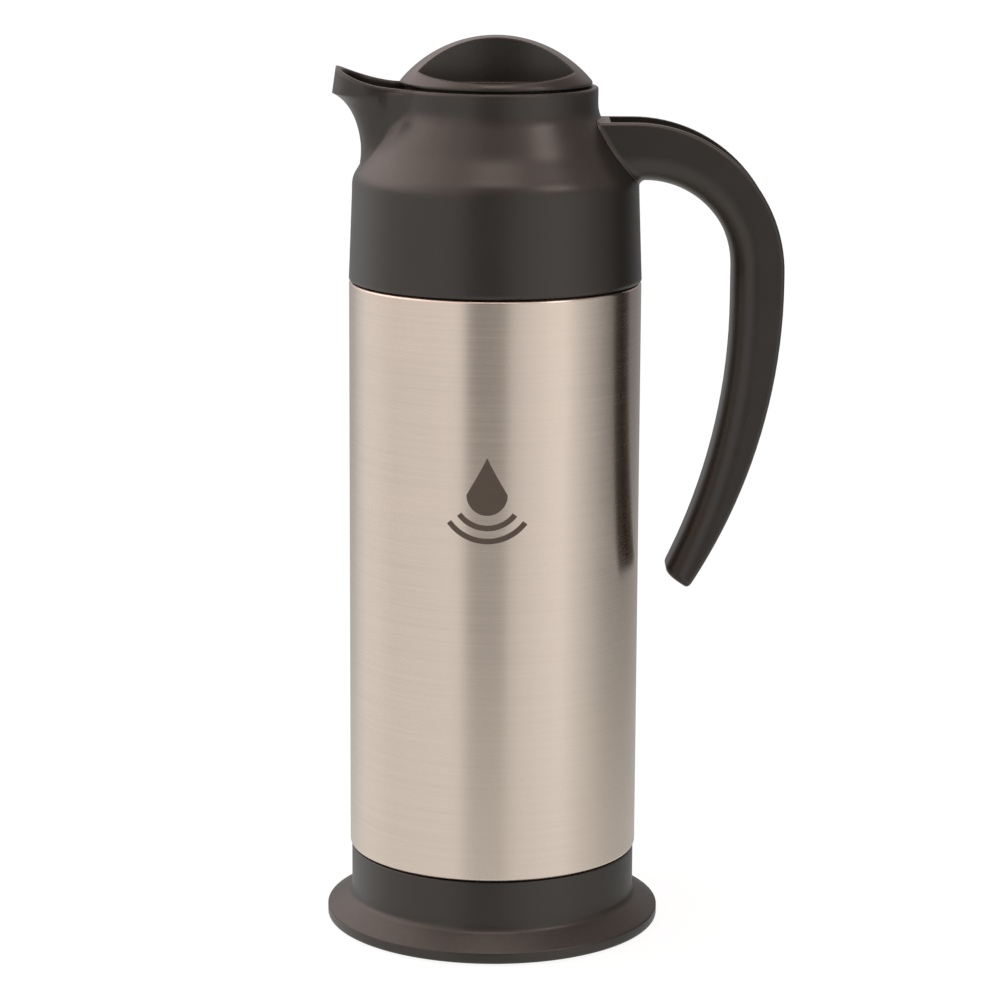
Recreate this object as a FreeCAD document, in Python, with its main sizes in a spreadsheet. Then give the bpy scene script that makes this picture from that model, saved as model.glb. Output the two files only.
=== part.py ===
import FreeCAD, Part
import math
import operator
import os
import Sketcher

# A slim one litre vacuum jug for milk or cream: a double steel vessel with a moulded collar,
# spout, hook handle, flared base and a screw-in stopper with a domed cap.
# The origin lies on the vessel's axis at the surface that it stands on.
# Z points up, the handle points to +X and the spout to -X.

SIZES = {
    # Outer steel wall, from the base up
    "steel_radius": 45.0,
    "steel_wall": 0.5,
    "step_depth": 2.6,
    "step_round": 0.9,
    "base_height": 24.0,
    "steel_height": 179.8,
    "shoulder_height": 32.2,
    "shoulder_round": 10.0,
    "neck_step": 20.5,
    "neck_root_round": 1.5,
    "neck_height": 14.0,
    # Inner steel vessel
    "liner_gap": 2.4,
    "liner_neck_gap": 0.5,
    "liner_floor_height": 17.5,
    "liner_floor_round": 10.0,
    "liner_shoulder_gap": 10.0,
    "liner_shoulder_round": 12.0,
    "liner_neck_round": 4.0,
    # Dish that closes the outer wall from below, with its evacuation port and getter
    "weld_clearance": 0.05,
    "dish_inset": 1.0,
    "dish_rim_height": 3.0,
    "dish_round": 1.5,
    "port_radius": 1.6,
    "port_button_radius": 4.0,
    "port_button_height": 1.2,
    "getter_radius": 7.0,
    "getter_height": 2.5,
    "getter_wall": 0.4,
    "getter_round": 0.8,
    "getter_offset": 18.0,
    # Flared base ring, its cover plate and the rubber foot
    "sleeve_inset": 0.5,
    "sleeve_clearance": 0.2,
    "sleeve_edge_round": 0.4,
    "flare_width": 7.7,
    "rim_top_height": 5.0,
    "rim_round": 0.9,
    "flare_round": 6.4,
    "foot_reveal": 0.6,
    "ledge_height": 6.0,
    "ledge_width": 2.0,
    "foot_width": 7.0,
    "foot_inset": 5.2,
    "foot_thickness": 3.4,
    "foot_round": 0.8,
    "plate_recess": 1.6,
    "plate_thickness": 1.8,
    "plate_clearance": 0.15,
    "plate_lip": 1.2,
    "plate_lip_height": 0.8,
    # Collar, each corner of its form counted from the one before
    "skirt_reveal": 0.1,
    "skirt_draft": 1.2,
    "skirt_corner_rise": -0.6,
    "skirt_round": 7.0,
    "skirt_edge_round": 0.5,
    "neck_run": 5.8,
    "slope_rise": 9.3,
    "slope_round": 28.0,
    "ring_gap": 0.7,
    "neck_corner_rise": 10.8,
    "collar_neck_round": 10.0,
    "collar_rim_rise": 7.6,
    "collar_wall": 2.3,
    "collar_rim_round": 0.6,
    "web_thickness": 2.5,
    "web_bore_clearance": 0.5,
    "skirt_hollow_drop": 6.0,
    # Spout
    "keel_inset": 2.8,
    "keel_round": 18.0,
    "keel_sink": 0.7,
    "lip_drop": 2.1,
    "lip_overhang": 8.9,
    "lip_lean": 1.5,
    "lip_rise": 8.2,
    "spout_half_width": 14.6,
    "spout_taper": 2.6,
    "root_inset": 1.2,
    "root_side_inset": 6.2,
    "spout_root_round": 6.0,
    "spout_wall": 2.2,
    "rim_start_inset": 6.2,
    "spout_rim_round": 42.0,
    "spout_rim_rise": 14.6,
    # Hook handle, its bends counted down from the collar's lower edge
    "handle_width": 24.0,
    "handle_top_drop": 10.1,
    "handle_under_drop": 0.4,
    "handle_thickness": 15.6,
    "handle_top_round": 46.0,
    "handle_knee_drop": 51.0,
    "handle_back_round": 176.0,
    "grip_gap": 27.5,
    "grip_top_round": 27.0,
    "grip_knee_drop": 48.8,
    "grip_round": 188.0,
    "tip_run": 7.3,
    "tip_fall": 4.2,
    "tip_gap": 7.8,
    "tip_inner_drop": 91.0,
    "handle_side_round": 8.0,
    "handle_rail_round": 1.2,
    "handle_tip_round": 2.5,
    "handle_root_round": 2.0,
    "handle_seat_clearance": 0.05,
    "channel_root_inset": 2.2,
    "channel_depth": 5.5,
    "rail_width": 3.0,
    "channel_end_wall": 5.0,
    # Screws that hold the handle, driven from under the collar
    "screw_inset": 0.7,
    "screw_spacing": 10.0,
    "screw_radius": 1.25,
    "screw_cover": 1.0,
    "screw_head_radius": 2.0,
    "screw_head_height": 2.2,
    "screw_clearance": 0.15,
    # Washer under the collar and the ring that clamps the collar to the neck
    "washer_gap": 1.8,
    "washer_width": 5.7,
    "washer_thickness": 2.5,
    "ring_wall": 3.5,
    "ring_thread_clearance": 0.2,
    "ring_lip_width": 1.5,
    "ring_lip_clearance": 0.3,
    "ring_lip_thickness": 1.5,
    # Stopper
    "seal_gap": 0.3,
    "seal_thickness": 2.0,
    "seal_inset": 2.6,
    "barrel_gap": 1.4,
    "barrel_wall": 2.0,
    "barrel_length": 24.9,
    "barrel_cap_gap": 2.6,
    "flange_inset": 1.0,
    "flange_thickness": 2.1,
    "bottom_thickness": 1.6,
    "bottom_round": 1.2,
    "bottom_ring_height": 3.0,
    "bottom_ring_wall": 1.6,
    "inner_fit_clearance": 0.2,
    "foam_clearance": 0.3,
    # Domed cap
    "cap_gap": 0.5,
    "cap_inset": 1.6,
    "cap_rim_round": 0.7,
    "dome_rise": 14.9,
    "scoop_floor_rise": 2.5,
    "scoop_round": 3.5,
    "scoop_edge_round": 1.2,
    "fin_thickness": 9.6,
    "cap_floor": 2.3,
    "cap_skirt_clearance": 1.0,
    "cap_skirt_wall": 2.0,
    "cap_plug_height": 6.7,
    "cap_plug_wall": 2.2,
    "fin_core_half_width": 2.6,
    "fin_core_length": 30.0,
    "fin_core_top_length": 18.0,
    "fin_core_height": 7.0,
    "cap_seal_section": 1.6,
    "cap_seal_drop": 4.2,
    # Rounding of small edges, and how far a cutting outline reaches past a surface
    "edge_round": 0.5,
    "overrun": 6.0,
}

# Ratios of the sizes above
SHARES = {
    "dome_corner_share": 0.62,
    "dome_fill_share": 0.95,
    "channel_knee_share": 0.29,
    "channel_ramp_share": 0.3,
    "seal_squeeze_share": 0.02,
    "bowl_drop_share": 0.4,
    "keel_limit_share": 0.95,
    "nose_round_share": 0.9,
    "root_slant_share": 1.2,
    "rim_corner_share": 0.371,
    "handle_root_share": 0.8,
}

# Heights of the spout's sections on the way from the keel's foot to the lip, as shares of that way
SPOUT_SHARES = (0.0, 0.3, 0.55, 0.78, 0.92, 1.0)

# How near an edge has to lie to count as lying on a face
TOUCH = 0.01

doc = FreeCAD.newDocument("VacuumCreamer")


class Size:
    """A length or a ratio together with the sheet expression that it comes from."""

    def __init__(self, value, text):
        self.value = float(value)
        self.text = text

    def __add__(self, other):
        return combine(operator.add, "+", self, other)

    def __sub__(self, other):
        return combine(operator.sub, "-", self, other)

    def __mul__(self, other):
        return combine(operator.mul, "*", self, other)

    def __truediv__(self, other):
        return combine(operator.truediv, "/", self, other)

    def __neg__(self):
        return Size(-self.value, f"(-1 * {self.text})")

    @property
    def half(self):
        return Size(self.value / 2, f"({self.text} / 2)")


def combine(action, sign, first, second):
    if not isinstance(second, Size):
        second = Size(second, repr(second))
    return Size(action(first.value, second.value), f"({first.text} {sign} {second.text})")


def root(size):
    return Size(math.sqrt(size.value), f"sqrt({size.text})")


def smaller(first, second):
    return Size(min(first.value, second.value), f"min({first.text}; {second.text})")


class Sheet:
    """The spreadsheet of driving sizes, each of which is an attribute of this object."""

    def __init__(self, values):
        sheet = doc.addObject("Spreadsheet::Sheet", "Sizes")
        for row, (name, value) in enumerate(values.items(), start=1):
            sheet.set(f"A{row}", name)
            sheet.set(f"B{row}", str(value))
            sheet.setAlias(f"B{row}", name)
            setattr(self, name, Size(value, f"Sizes.{name}"))


size = Sheet({**SIZES, **SHARES})
doc.recompute()

# Radii and reaches that follow from the sizes, from the steel body outwards
size.seat_radius = size.steel_radius - size.step_depth
size.neck_radius = size.steel_radius - size.neck_step
size.liner_radius = size.seat_radius - size.steel_wall - size.liner_gap
size.neck_bore_radius = size.neck_radius - size.steel_wall * 2 - size.liner_neck_gap
size.sleeve_radius = size.steel_radius - size.sleeve_inset
size.rim_radius = size.sleeve_radius + size.flare_width
size.foot_outer_radius = size.rim_radius - size.foot_inset
size.foot_inner_radius = size.foot_outer_radius - size.foot_width
size.ledge_inner_radius = size.foot_inner_radius - size.ledge_width

# The washer, the clamping ring and the stopper follow the steel neck
size.washer_inner_radius = size.neck_radius + size.washer_gap
size.washer_outer_radius = size.washer_inner_radius + size.washer_width
size.ring_thread_radius = size.neck_radius + size.ring_thread_clearance
size.ring_radius = size.ring_thread_radius + size.ring_wall
size.ring_bore_radius = size.ring_thread_radius - size.ring_lip_width
size.seal_radius = size.ring_radius - size.seal_inset
size.flange_radius = size.ring_radius - size.flange_inset
size.barrel_radius = size.neck_bore_radius - size.barrel_gap

# The collar's neck stands round the ring and its skirt over the steel
size.collar_neck_radius = size.ring_radius + size.ring_gap + size.collar_wall
size.slope_radius = size.collar_neck_radius + size.neck_run
size.skirt_radius = size.steel_radius + size.skirt_reveal
size.skirt_top_radius = size.skirt_radius - size.skirt_draft
size.cap_radius = size.collar_neck_radius - size.cap_inset

# The spout grows out of the collar, and the handle hooks round from it
size.keel_reach = size.skirt_top_radius - size.keel_inset
size.lip_reach = size.keel_reach + size.lip_overhang
size.lip_top_reach = size.lip_reach - size.lip_lean
size.spout_foot_half_width = size.spout_half_width - size.spout_taper
size.spout_root_reach = size.collar_neck_radius - size.root_inset
size.spout_root_half_width = size.collar_neck_radius - size.root_side_inset
size.spout_rim_start = size.collar_neck_radius - size.rim_start_inset
size.grip_reach = size.skirt_radius + size.grip_gap
size.handle_reach = size.grip_reach + size.handle_thickness
size.tip_inner_reach = size.skirt_radius + size.tip_gap
size.tip_outer_reach = size.tip_inner_reach + size.tip_run
size.tip_outer_drop = size.tip_inner_drop + size.tip_fall
size.channel_start = size.slope_radius - size.channel_root_inset
size.screw_reach = size.slope_radius + size.screw_inset


# Helpers for bodies and sketches

def new_body(node):
    body = doc.addObject("PartDesign::Body", node)
    body.Label = node
    return body


def origin_feature(body, role):
    return next(feature for feature in body.Origin.OriginFeatures if feature.Role == role)


def new_sketch(body, name, role, height=None):
    sketch = body.newObject("Sketcher::SketchObject", name)
    sketch.AttachmentSupport = [(origin_feature(body, role), "")]
    sketch.MapMode = "FlatFace"
    if height is not None:
        place = FreeCAD.Vector(0, 0, height.value)
        sketch.AttachmentOffset = FreeCAD.Placement(place, FreeCAD.Rotation())
        sketch.setExpression("AttachmentOffset.Base.z", height.text)
    return sketch


def bind(sketch, kind, elements, length):
    """A dimension that follows the sheet; on an axis it is a point on that axis."""
    if not isinstance(length, Size):
        axis = -2 if kind == "DistanceX" else -1
        sketch.addConstraint(Sketcher.Constraint("PointOnObject", *elements, axis))
        return
    if kind in ("DistanceX", "DistanceY"):
        elements = (-1, 1, *elements)
    index = sketch.addConstraint(Sketcher.Constraint(kind, *elements, length.value))
    sketch.setExpression(f"Constraints[{index}]", length.text)


def bind_point(sketch, geometry, position, corner):
    bind(sketch, "DistanceX", (geometry, position), corner[0])
    bind(sketch, "DistanceY", (geometry, position), corner[1])


def plain(length):
    return length.value if isinstance(length, Size) else float(length)


def corner_geometry(points, i, radius):
    """Centre, start and end of the tangent arc at corner i, and whether it turns left."""
    here = points[i]
    back = (points[i - 1] - here).normalize()
    ahead = (points[(i + 1) % len(points)] - here).normalize()
    half = back.getAngle(ahead) / 2
    run = radius / math.tan(half)
    centre = here + (back + ahead).normalize() * (radius / math.sin(half))
    left = back.cross(ahead).z < 0
    return centre, here + back * run, here + ahead * run, left


def fitted_radii(points, corners):
    """Corner radii, made smaller only where two arcs would run into each other on a side."""
    count = len(points)
    radii = [corner[2] if len(corner) > 2 else None for corner in corners]
    runs = []
    for i, radius in enumerate(radii):
        start = corner_geometry(points, i, radius.value)[1] if radius else points[i]
        runs.append((start - points[i]).Length)
    spare_share = 0.995
    fits = [1.0] * count
    for i in range(count):
        j = (i + 1) % count
        side = (points[j] - points[i]).Length * spare_share
        if runs[i] + runs[j] > side:
            share = side / (runs[i] + runs[j])
            fits[i] = min(fits[i], share)
            fits[j] = min(fits[j], share)
    return [r * fit if r and fit < 1 else r for r, fit in zip(radii, fits)]


def draw_outline(sketch, corners):
    """A closed outline of straight sides through the corners (x, y) or (x, y, rounding)."""
    points = [FreeCAD.Vector(plain(corner[0]), plain(corner[1]), 0) for corner in corners]
    radii = fitted_radii(points, corners)
    count = len(points)
    arcs = {}
    for i, radius in enumerate(radii):
        if radius:
            arcs[i] = corner_geometry(points, i, radius.value)
    first = sketch.GeometryCount
    for i in range(count):
        j = (i + 1) % count
        begin = arcs[i][2] if i in arcs else points[i]
        end = arcs[j][1] if j in arcs else points[j]
        sketch.addGeometry(Part.LineSegment(begin, end), False)
    for i, corner in enumerate(corners):
        line_in, line_out = first + (i - 1) % count, first + i
        if i not in arcs:
            sketch.addConstraint(Sketcher.Constraint("Coincident", line_in, 2, line_out, 1))
            bind_point(sketch, line_out, 1, corner)
            continue
        centre, start, end, left = arcs[i]
        circle = Part.Circle(centre, FreeCAD.Vector(0, 0, 1), radii[i].value)
        angles = [math.atan2(p.y - centre.y, p.x - centre.x) for p in (start, end)]
        if not left:
            angles.reverse()
        if angles[1] < angles[0]:
            angles[1] += 2 * math.pi
        arc = sketch.addGeometry(Part.ArcOfCircle(circle, *angles), False)
        head, tail = (1, 2) if left else (2, 1)
        sketch.addConstraint(Sketcher.Constraint("Tangent", line_in, 2, arc, head))
        sketch.addConstraint(Sketcher.Constraint("Tangent", arc, tail, line_out, 1))
        bind(sketch, "Radius", (arc,), radii[i])
        point = sketch.addGeometry(Part.Point(points[i]), True)
        sketch.addConstraint(Sketcher.Constraint("PointOnObject", point, 1, line_in))
        sketch.addConstraint(Sketcher.Constraint("PointOnObject", point, 1, line_out))
        bind_point(sketch, point, 1, corner)


def draw_circle(sketch, centre, radius):
    middle = FreeCAD.Vector(plain(centre[0]), plain(centre[1]), 0)
    circle = Part.Circle(middle, FreeCAD.Vector(0, 0, 1), radius.value)
    index = sketch.addGeometry(circle, False)
    bind(sketch, "Radius", (index,), radius)
    bind_point(sketch, index, 3, centre)


def revolve(body, name, corners, kind="Revolution"):
    """Turns a profile about the vessel's axis, as a solid or as a groove in the body."""
    sketch = new_sketch(body, f"{name}_profile", "XZ_Plane")
    draw_outline(sketch, corners)
    feature = body.newObject(f"PartDesign::{kind}", f"{name}_turn")
    feature.Profile = sketch
    feature.ReferenceAxis = (sketch, ["V_Axis"])
    feature.Angle = 360
    return feature


def extrude(body, name, role, outlines, depth, kind="Pad", circles=()):
    """Pads or pockets outlines by depth, half to each side of their plane."""
    sketch = new_sketch(body, f"{name}_outline", role)
    for corners in outlines:
        draw_outline(sketch, corners)
    for centre, radius in circles:
        draw_circle(sketch, centre, radius)
    feature = body.newObject(f"PartDesign::{kind}", name)
    feature.Profile = sketch
    feature.Midplane = True
    feature.Length = depth.value
    feature.setExpression("Length", depth.text)
    return feature


def loft(body, name, sections, kind="AdditiveLoft", ruled=False):
    """Joins outlines, each given with its height, with a smooth or a straight skin."""
    sketches = []
    for i, (height, corners) in enumerate(sections):
        sketch = new_sketch(body, f"{name}_section_{i}", "XY_Plane", height)
        draw_outline(sketch, corners)
        sketches.append(sketch)
    feature = body.newObject(f"PartDesign::{kind}", name)
    feature.Profile = sketches[0]
    feature.Sections = sketches[1:]
    feature.Ruled = ruled
    return feature


def round_edges(body, name, base, wanted, radius):
    """Rounds the edges of the base for which wanted(edge) holds."""
    doc.recompute()
    names = [f"Edge{i}" for i, edge in enumerate(base.Shape.Edges, start=1) if wanted(edge)]
    feature = body.newObject("PartDesign::Fillet", name)
    feature.Base = (base, names)
    feature.Radius = radius.value
    feature.setExpression("Radius", radius.text)
    return feature


def lies_on(edge, skins):
    """Whether the middle of an edge lies on each of the skins, as the seam of two forms does."""
    if edge.Length < TOUCH:
        return False
    middle = Part.Vertex(edge.valueAt((edge.FirstParameter + edge.LastParameter) / 2))
    return max(middle.distToShape(skin)[0] for skin in skins) < TOUCH


def screw_holes(body, radius):
    """Holes of a radius for the two handle screws, from the web of the collar upwards."""
    half = size.screw_spacing.half
    sketch = new_sketch(body, "screw_holes_outline", "XY_Plane", web_bottom)
    draw_circle(sketch, (size.screw_reach, half), radius)
    draw_circle(sketch, (size.screw_reach, -half), radius)
    holes = body.newObject("PartDesign::Pocket", "screw_holes")
    holes.Profile = sketch
    holes.Reversed = True
    holes.Length = size.screw_length.value
    holes.setExpression("Length", size.screw_length.text)
    return holes


# Heights that several pieces share

steel_top = size.base_height + size.steel_height
shoulder_top = steel_top + size.shoulder_height
neck_top = shoulder_top + size.neck_height
web_bottom = shoulder_top + size.washer_thickness
web_top = web_bottom + size.web_thickness
ring_top = neck_top + size.steel_wall + size.ring_lip_clearance + size.ring_lip_thickness
skirt_corner = shoulder_top + size.skirt_corner_rise
slope_top = skirt_corner + size.slope_rise
neck_corner = slope_top + size.neck_corner_rise
collar_top = neck_corner + size.collar_rim_rise
keel_foot = slope_top - size.keel_sink
lip = collar_top - size.lip_drop
lip_top = collar_top + size.lip_rise
handle_top = collar_top - size.handle_top_drop
handle_under = skirt_corner - size.handle_under_drop
size.screw_length = handle_top - size.channel_depth - size.screw_cover - web_bottom
seal_bottom = ring_top + size.seal_gap
seal_top = seal_bottom + size.seal_thickness
flange_bottom = seal_top + size.seal_gap
flange_top = flange_bottom + size.flange_thickness
barrel_bottom = flange_bottom - size.barrel_length
cap_bottom = collar_top + size.cap_gap
cap_top = cap_bottom + size.dome_rise
scoop_floor = cap_bottom + size.scoop_floor_rise
cap_underside = scoop_floor - size.cap_floor
barrel_top = cap_underside - size.barrel_cap_gap
dish_top = size.ledge_height + size.dish_inset + size.dish_rim_height

# The cap's rubber ring is a little smaller than the barrel's bore that it stands in
cap_seal_outer = size.barrel_radius - size.barrel_wall \
    - size.cap_seal_section * size.seal_squeeze_share
cap_seal_inner = cap_seal_outer - size.cap_seal_section


def make_outer_shell():
    """Outer steel wall, stepped in where the base and the collar sit, with shoulder and neck."""
    wall = size.steel_wall
    outer, seat, neck = size.steel_radius, size.seat_radius, size.neck_radius
    tight, wide = size.step_round, size.step_round + wall
    lower_step = size.base_height + wall
    upper_step = steel_top - wall
    body = new_body("outer_shell")
    revolve(body, "outer_shell", [
        (seat, size.ledge_height),
        (seat, lower_step, tight),
        (outer, lower_step, tight),
        (outer, upper_step, tight),
        (seat, upper_step, tight),
        (seat, shoulder_top, size.shoulder_round),
        (neck, shoulder_top, size.neck_root_round),
        (neck, neck_top),
        (neck - wall, neck_top),
        (neck - wall, shoulder_top - wall, size.neck_root_round + wall),
        (seat - wall, shoulder_top - wall, size.shoulder_round - wall),
        (seat - wall, upper_step - wall, wide),
        (outer - wall, upper_step - wall, tight - wall),
        (outer - wall, lower_step + wall, tight - wall),
        (seat - wall, lower_step + wall, wide),
        (seat - wall, size.ledge_height),
    ])
    return body


def make_inner_liner():
    """Inner steel vessel with a lip that is welded to the outer neck."""
    wall = size.steel_wall
    neck = size.neck_radius - wall - size.liner_neck_gap
    floor = size.liner_floor_height
    shoulder = shoulder_top - size.liner_shoulder_gap
    side = size.liner_radius
    body = new_body("inner_liner")
    revolve(body, "inner_liner", [
        (0, floor),
        (side, floor, size.liner_floor_round),
        (side, shoulder, size.liner_shoulder_round),
        (neck, shoulder, size.liner_neck_round),
        (neck, neck_top),
        (size.neck_radius, neck_top),
        (size.neck_radius, neck_top + wall),
        (neck - wall, neck_top + wall),
        (neck - wall, shoulder - wall, size.liner_neck_round + wall),
        (side - wall, shoulder - wall, size.liner_shoulder_round - wall),
        (side - wall, floor + wall, size.liner_floor_round - wall),
        (0, floor + wall),
    ])
    return body


def make_shell_bottom():
    """Steel dish welded into the foot of the outer wall, with the evacuation port."""
    wall = size.steel_wall
    rim = size.seat_radius - wall - size.weld_clearance
    foot = size.ledge_height + size.dish_inset
    body = new_body("shell_bottom")
    revolve(body, "shell_bottom", [
        (size.port_radius, dish_top - wall),
        (rim - wall, dish_top - wall, size.dish_round - wall),
        (rim - wall, foot),
        (rim, foot),
        (rim, dish_top, size.dish_round),
        (size.port_radius, dish_top),
    ])
    return body


def make_port_seal():
    """Glass bead that closes the evacuation port after the air is drawn out."""
    stem = size.port_radius - size.weld_clearance
    under = dish_top - size.steel_wall
    edge = size.port_button_height.half
    body = new_body("port_seal")
    revolve(body, "port_seal", [
        (0, under - size.port_button_height),
        (size.port_button_radius, under - size.port_button_height, edge),
        (size.port_button_radius, under),
        (stem, under),
        (stem, dish_top),
        (0, dish_top),
    ])
    return body


def make_getter():
    """Small open cup with the getter, spot welded on the dish inside the evacuated space."""
    side, wall = size.getter_radius, size.getter_wall
    body = new_body("getter")
    revolve(body, "getter", [
        (0, 0),
        (side, 0, size.getter_round),
        (side, size.getter_height),
        (side - wall, size.getter_height),
        (side - wall, wall, size.getter_round - wall),
        (0, wall),
    ])
    place = FreeCAD.Vector(size.getter_offset.value, 0, dish_top.value)
    body.Placement = FreeCAD.Placement(place, FreeCAD.Rotation())
    body.setExpression("Placement.Base.x", size.getter_offset.text)
    body.setExpression("Placement.Base.z", dish_top.text)
    return body


def make_base_ring():
    """Base moulding: a sleeve round the steel, a concave flare and an upright rim."""
    bore = size.seat_radius + size.sleeve_clearance
    body = new_body("base_ring")
    revolve(body, "base_ring", [
        (size.ledge_inner_radius, size.plate_recess),
        (size.foot_inner_radius, size.plate_recess),
        (size.foot_inner_radius, size.foot_thickness),
        (size.foot_outer_radius, size.foot_thickness),
        (size.foot_outer_radius, size.foot_reveal),
        (size.rim_radius, size.foot_reveal, size.rim_round),
        (size.rim_radius, size.rim_top_height, size.rim_round),
        (size.sleeve_radius, size.rim_top_height, size.flare_round),
        (size.sleeve_radius, size.base_height, size.sleeve_edge_round),
        (bore, size.base_height),
        (bore, size.ledge_height),
        (size.ledge_inner_radius, size.ledge_height),
    ])
    return body


def make_base_plate():
    """Cover disc that snaps into the base ring from above, with its lip over the ledge."""
    side = size.ledge_inner_radius - size.plate_clearance
    lip = size.ledge_inner_radius + size.plate_lip
    inner = side - size.plate_thickness
    floor = size.plate_recess + size.plate_thickness
    body = new_body("base_plate")
    revolve(body, "base_plate", [
        (0, size.plate_recess),
        (side, size.plate_recess),
        (side, size.ledge_height),
        (lip, size.ledge_height),
        (lip, size.ledge_height + size.plate_lip_height),
        (inner, size.ledge_height + size.plate_lip_height),
        (inner, floor, size.plate_thickness),
        (0, floor),
    ])
    return body


def make_foot_ring():
    """Rubber ring in the groove under the base ring; the jug stands on its flat face."""
    inner = size.foot_inner_radius + size.plate_clearance
    outer = size.foot_outer_radius - size.plate_clearance
    body = new_body("foot_ring")
    revolve(body, "foot_ring", [
        (inner, 0, size.foot_round),
        (outer, 0, size.foot_round),
        (outer, size.foot_thickness),
        (inner, size.foot_thickness),
    ])
    return body


def collar_outside(clearance=None):
    """Half profile of the collar's outer form, from the axis out and up to its rim."""
    grow = clearance if clearance else Size(0, "0")
    return [
        (0, steel_top),
        (size.skirt_radius + grow, steel_top, size.skirt_edge_round),
        (size.skirt_top_radius + grow, skirt_corner, size.skirt_round),
        (size.slope_radius + grow, slope_top + grow, size.slope_round),
        (size.collar_neck_radius + grow, neck_corner, size.collar_neck_round),
        (size.collar_neck_radius + grow, collar_top, size.collar_rim_round),
        (0, collar_top),
    ]


# The keel leaves the collar along a vertical tangent and bows out to the lip
keel_drop = smaller(lip - keel_foot, size.keel_round * size.keel_limit_share)
keel_bow = size.keel_round - root(size.keel_round * size.keel_round - keel_drop * keel_drop)
keel_stretch = (size.lip_reach - size.keel_reach) / keel_bow


def spout_section(height, inset=None):
    """The spout's outline in plan at a height: wide root, nearly straight sides, round nose."""
    inside = inset if inset else Size(0, "0")
    if height.value > lip.value:
        climb = (height - lip) / (lip_top - lip)
        reach = size.lip_reach + (size.lip_top_reach - size.lip_reach) * climb
        half_width = size.spout_half_width
    else:
        climb = (height - keel_foot) / (lip - keel_foot)
        bow = size.keel_round - root(size.keel_round * size.keel_round
                                     - climb * climb * keel_drop * keel_drop)
        reach = size.keel_reach + bow * keel_stretch
        half_width = size.spout_foot_half_width \
            + (size.spout_half_width - size.spout_foot_half_width) * climb
    reach = -(reach - inside)
    half_width = half_width - inside
    nose = half_width * size.nose_round_share
    root_x, root_y = -size.spout_root_reach, size.spout_root_half_width - inside
    back_x = root_x + (root_y - half_width) * size.root_slant_share
    return [
        (back_x, root_y),
        (root_x, half_width, size.spout_root_round),
        (reach, half_width, nose),
        (reach, -half_width, nose),
        (root_x, -half_width, size.spout_root_round),
        (back_x, -root_y),
    ]


def make_collar():
    """Collar moulding: skirt, shoulder and neck as one turned wall, with the spout lofted on."""
    body = new_body("collar")
    revolve(body, "collar", collar_outside())
    top = lip_top + size.overrun.half
    heights = [keel_foot + (lip - keel_foot) * share for share in SPOUT_SHARES]
    foot = web_top - size.web_thickness.half
    low = [(foot, spout_section(heights[0]))] + [(z, spout_section(z)) for z in heights]
    loft(body, "spout_foot", low[:2], ruled=True)
    loft(body, "spout_cone", low[1:])
    loft(body, "spout_lip", [(lip, spout_section(lip)), (top, spout_section(top))], ruled=True)
    bore = size.collar_neck_radius - size.collar_wall
    bowl = size.slope_radius - size.collar_wall
    web_bore = size.neck_radius + size.web_bore_clearance
    skirt_bore = size.seat_radius + size.sleeve_clearance
    ceiling = collar_top + size.overrun
    bowl_height = slope_top - size.collar_wall * size.bowl_drop_share
    revolve(body, "collar_hollow", [
        (0, steel_top - size.overrun),
        (skirt_bore, steel_top - size.overrun),
        (skirt_bore, web_bottom - size.skirt_hollow_drop),
        (skirt_bore - size.collar_wall, web_bottom),
        (web_bore, web_bottom),
        (web_bore, web_top),
        (bowl + size.collar_wall, web_top),
        (bowl, bowl_height),
        (bore, neck_corner - size.collar_wall.half, size.collar_neck_round),
        (bore, ceiling),
        (0, ceiling),
    ], kind="Groove")
    wall = size.spout_wall
    inner = [(z, spout_section(z, wall)) for z in heights]
    inner_top = (top + size.overrun, spout_section(top, wall))
    loft(body, "channel_cone", inner, kind="SubtractiveLoft")
    loft(body, "channel_mouth", [inner[-1], inner_top], kind="SubtractiveLoft", ruled=True)
    far = -(size.lip_reach + size.overrun * 2)
    rim_corner = -(size.spout_rim_start + size.spout_rim_round * size.rim_corner_share)
    above = collar_top + size.spout_rim_rise + size.overrun
    extrude(body, "spout_rim_cut", "XZ_Plane", [[
        (0, collar_top),
        (rim_corner, collar_top, size.spout_rim_round),
        (far, collar_top + size.spout_rim_rise),
        (far, above),
        (0, above),
    ]], (size.collar_neck_radius + size.overrun) * 2, kind="Pocket")
    screw_holes(body, size.screw_radius + size.screw_clearance)
    return body


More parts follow.
